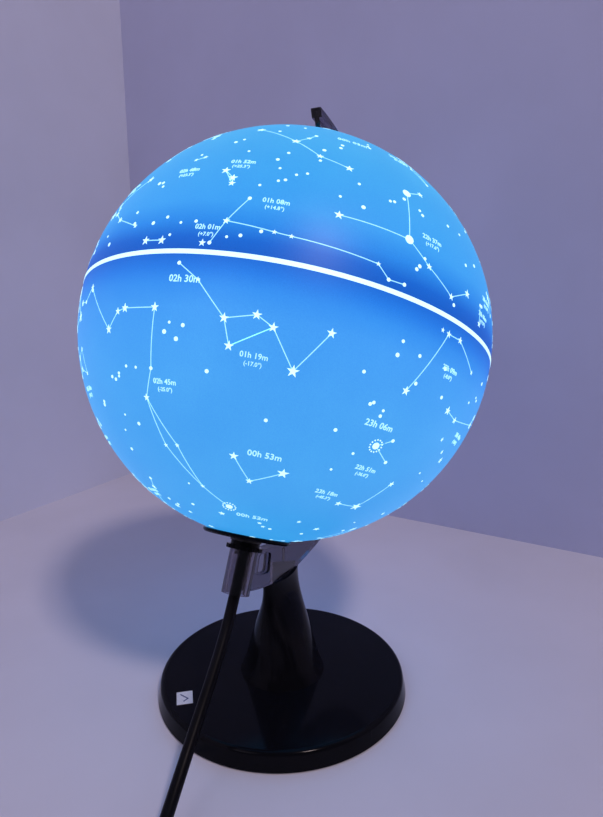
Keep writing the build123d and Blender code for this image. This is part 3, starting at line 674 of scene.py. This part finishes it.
# --- Chart labels: plain sky coordinates ----------------------------------------------------------
LABEL_MM = 2.9
LARGE_LABEL_MM = 3.7
SECOND_LINE = 0.75
LABEL_DEPTH_MM = 0.15
LABEL_WEIGHT = 0.012
LINE_DROP = 0.95
SMALL_FROM = 70
SMALL_LABEL = 0.8
WELD_MM = 0.004


def label_mesh(text, size_mm):
    """Flat extruded lettering in Blender's own font, in metres; make_labels welds its corners."""
    curve = bpy.data.curves.new("label", "FONT")
    curve.body = text
    curve.size = size_mm * MM
    curve.align_x = "CENTER"
    curve.resolution_u = 2
    curve.offset = LABEL_WEIGHT * size_mm * MM
    curve.extrude = LABEL_DEPTH_MM / 2 * MM
    holder = bpy.data.objects.new("label", curve)
    bpy.context.scene.collection.objects.link(holder)
    mesh = bpy.data.meshes.new_from_object(holder.evaluated_get(bpy.context.evaluated_depsgraph_get()))
    bpy.data.objects.remove(holder)
    return mesh


def wrap_label(shape, mesh, half, hours, declination, drop):
    """Bends flat lettering on to the globe, reading from west to east."""
    longitude, latitude = -15 * hours, printed_latitude(half, declination)
    before = set(shape.verts)
    shape.from_mesh(mesh)
    for vert in set(shape.verts) - before:
        lat = latitude + (vert.co.y - drop) / RADIUS * 180 / pi
        lon = longitude + vert.co.x / RADIUS * 180 / pi / cos(radians(latitude))
        lift = vert.co.z / MM + LABEL_DEPTH_MM / 2 - SUNK_MM
        vert.co = on_globe(direction(half, lon, lat), lift)


def make_labels():
    for half in ("north", "south"):
        shape = bmesh.new()
        for here, stars, chains, label in read_sky():
            if here != half or not label:
                continue
            hours, declination = label[:2]
            minutes = round(hours * 60)
            first, second = f"{minutes // 60:02d}h {minutes % 60:02d}m", f"({declination:+.1f}°)"
            if len(label) == 3:
                wrap_label(shape, label_mesh(first, LARGE_LABEL_MM), half, hours, declination, 0)
                continue
            size_mm = LABEL_MM * (SMALL_LABEL if abs(declination) > SMALL_FROM else 1)
            wrap_label(shape, label_mesh(first, size_mm), half, hours, declination, 0)
            below = size_mm * LINE_DROP * MM
            wrap_label(shape, label_mesh(second, size_mm * SECOND_LINE), half, hours, declination, below)
        bmesh.ops.remove_doubles(shape, verts=shape.verts, dist=WELD_MM * MM)
        piece(f"printed_labels_{half}", from_bmesh("labels", shape), LABEL_INK, "globe")


# --- Mains lead -----------------------------------------------------------------------------------
CORD_D = 0.0054
ROUTE_FROM_GLOBE = [
    GLOBE - AXIS * 0.1080,
    GLOBE - AXIS * 0.1344,
    Vector((-0.0610, -0.0026, 0.0465)),
    Vector((-0.0775, -0.0044, 0.0295)),
    Vector((-0.0960, -0.0080, 0.0145)),
    Vector((-0.1170, -0.0150, 0.0050)),
    Vector((-0.1380, -0.0215, 0.00272)),
    Vector((-0.1512, -0.0322, 0.00312)),
    Vector((-0.1587, -0.0475, 0.00472)),
    Vector((-0.1590, -0.0635, 0.0069)),
]
COIL = Vector((-0.127, -0.151, 0))
COIL_REACH = 0.0389
COIL_LEFT = COIL.x - COIL_REACH
COIL_FRONT = COIL.y - COIL_REACH
ROUTE_TO_COIL = [
    Vector((-0.1590, -0.1045, 0.0069)),
    Vector((-0.1596, -0.1170, 0.0056)),
    Vector((COIL_LEFT + 0.0023, COIL.y + 0.019, 0.0033)),
    Vector((COIL_LEFT + 0.0003, COIL.y + 0.006, 0.0033)),
]
PLUG_BACK = -0.101
ROUTE_TO_PLUG = [
    Vector((COIL.x + 0.009, COIL_FRONT - 0.0004, 0.0072)),
    Vector((PLUG_BACK - 0.004, COIL_FRONT - 0.001, 0.00725)),
    Vector((PLUG_BACK + 0.002, COIL_FRONT - 0.001, 0.00685)),
]
COIL_SLOTS = 4
SLOT = 0.0056
OUTER_TURN = 0.0387
LAYER_Z = (0.0033, 0.0087)
STEPS_A_TURN = 24
COIL_TURNS = 2 * COIL_SLOTS - 0.75


def eased(value):
    value = min(1, max(0, value))
    return value * value * (3 - 2 * value)


def coil_point(turn):
    """A point of the coil. It winds in along the floor, climbs, and winds out on top of itself."""
    count = min(int(turn), 2 * COIL_SLOTS - 1)
    part = turn - count
    climb = eased((part - 5 / 6) * 12)
    if count < COIL_SLOTS - 1:
        slot, layer = count + eased((part - 11 / 12) * 12), 0
    elif count == COIL_SLOTS - 1:
        slot, layer = count, climb
    else:
        slot, layer = 2 * COIL_SLOTS - 1 - count - eased((part - 3 / 4) * 12), 1
    radius = (OUTER_TURN - SLOT * slot) / cos(pi / STEPS_A_TURN)
    angle = pi + 2 * pi * turn
    height = LAYER_Z[0] + (LAYER_Z[1] - LAYER_Z[0]) * layer
    return Vector((COIL.x + radius * cos(angle), COIL.y + radius * sin(angle), height))


def coil_points():
    steps = round(COIL_TURNS * STEPS_A_TURN)
    return [coil_point(k / STEPS_A_TURN) for k in range(1, steps)]


def cord_curve(name, points):
    """A round flexible cord on one smooth spline with those control points."""
    curve = bpy.data.curves.new(name, "CURVE")
    curve.dimensions = "3D"
    curve.bevel_depth = CORD_D / 2
    curve.bevel_resolution = 5
    curve.resolution_u = 6
    curve.use_fill_caps = True
    spline = curve.splines.new("NURBS")
    spline.points.add(len(points) - 1)
    for target, point in zip(spline.points, points):
        target.co = (*point, 1)
    spline.order_u = 3
    spline.use_endpoint_u = True
    cord = bpy.data.objects.new(name, curve)
    bpy.context.scene.collection.objects.link(cord)
    curve.materials.append(LOOKS["black_cord"])
    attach(cord, "stand")
    return cord


def make_cords():
    first = cord_curve("mains_lead_globe_side", ROUTE_FROM_GLOBE)
    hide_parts("lead_from_globe")
    second = cord_curve("mains_lead_plug_side", ROUTE_TO_COIL + coil_points() + ROUTE_TO_PLUG)
    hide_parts("lead_to_coil", "cord_coil", "lead_to_plug")


# --- Small marks ----------------------------------------------------------------------------------
STICKER_TURN = radians(41)
TICK = (((-2.6, 0.4), (-0.9, -1.6)), ((-0.9, -1.6), (2.8, 1.9)))
TICK_HALF_MM = 0.35
TICK_HEIGHTS_MM = (-0.02, 0.04)


def make_sticker_mark():
    """A plain tick on the base's small white sticker."""
    low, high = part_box("inspection_sticker")
    middle, top = (low + high) / 2, high.z
    turn = Matrix.Rotation(STICKER_TURN, 4, "Z")
    shape = bmesh.new()
    for start, end in TICK:
        along = (Vector((*end, 0)) - Vector((*start, 0))).normalized() * TICK_HALF_MM
        side = Vector((-along.y, along.x, 0))
        a, b = Vector((*start, 0)) - along, Vector((*end, 0)) + along
        ring = [a + side, a - side, b - side, b + side]
        rows = []
        for height in TICK_HEIGHTS_MM:
            centre = Vector((middle.x, middle.y, top + height * MM))
            rows.append([shape.verts.new(turn @ (p * MM) + centre) for p in ring])
        shape.faces.new(rows[0][::-1])
        shape.faces.new(rows[1])
        for k in range(4):
            shape.faces.new((rows[0][k], rows[0][(k + 1) % 4], rows[1][(k + 1) % 4], rows[1][k]))
    piece("sticker_mark", from_bmesh("sticker_mark", shape), DARK_INK, "stand")


# --- Studio ---------------------------------------------------------------------------------------
def painted(name, color):
    look = Look(name, color, Roughness=0.6)
    look.color(look.noise(9, 5), *shades(color, 0.03))
    look.bump(look.noise(500, 3), 0.05 * MM, 0.4)
    return look.material


def stage_plane(name, corners, material):
    mesh = bpy.data.meshes.new(name)
    mesh.from_pydata([Vector(corner) for corner in corners], [], [(0, 1, 2, 3)])
    made = bpy.data.objects.new(name, mesh)
    bpy.context.scene.collection.objects.link(made)
    mesh.materials.append(material)


def area_light(name, place, target, size, power, color):
    data = bpy.data.lights.new(name, "AREA")
    data.size = size
    data.energy = power
    data.color = color
    light = bpy.data.objects.new(name, data)
    bpy.context.scene.collection.objects.link(light)
    light.location = place
    light.rotation_euler = (Vector(target) - Vector(place)).to_track_quat("-Z", "Y").to_euler()


def make_studio():
    pale = painted("pale_floor", (0.69, 0.69, 0.78))
    side = painted("pale_side_wall", (0.69, 0.72, 0.86))
    # The end wall's colour is darker than the side wall's: painted shade on the end wall.
    end = painted("end_wall_painted_shade", (0.52, 0.54, 0.75))
    stage_plane("floor", ((-3, -3, 0), (3, -3, 0), (3, 3, 0), (-3, 3, 0)), pale)
    stage_plane("side_wall", ((-3, 0.28, -0.1), (0.28, 0.365, -0.1), (0.28, 0.365, 2), (-3, 0.28, 2)), side)
    stage_plane("end_wall", ((0.28, 0.365, -0.1), (0.15, -3, -0.1), (0.15, -3, 2), (0.28, 0.365, 2)), end)
    world = bpy.data.worlds.new("world")
    bpy.context.scene.world = world
    world.use_nodes = True
    world.node_tree.nodes["Background"].inputs["Color"].default_value = (0.62, 0.64, 0.86, 1)
    world.node_tree.nodes["Background"].inputs["Strength"].default_value = 0.10
    area_light("key", (-1.0, -1.6, 2.5), GLOBE, 0.34, 30, (1.0, 0.80, 0.80))
    area_light("fill", (-1.2, 0.1, 0.9), GLOBE, 0.5, 1.0, (0.86, 0.80, 1.0))
    bpy.context.scene.view_settings.view_transform = "Standard"


make_camera()
make_cords()
dress_frame()
make_stars()
make_labels()
make_sticker_mark()
make_studio()
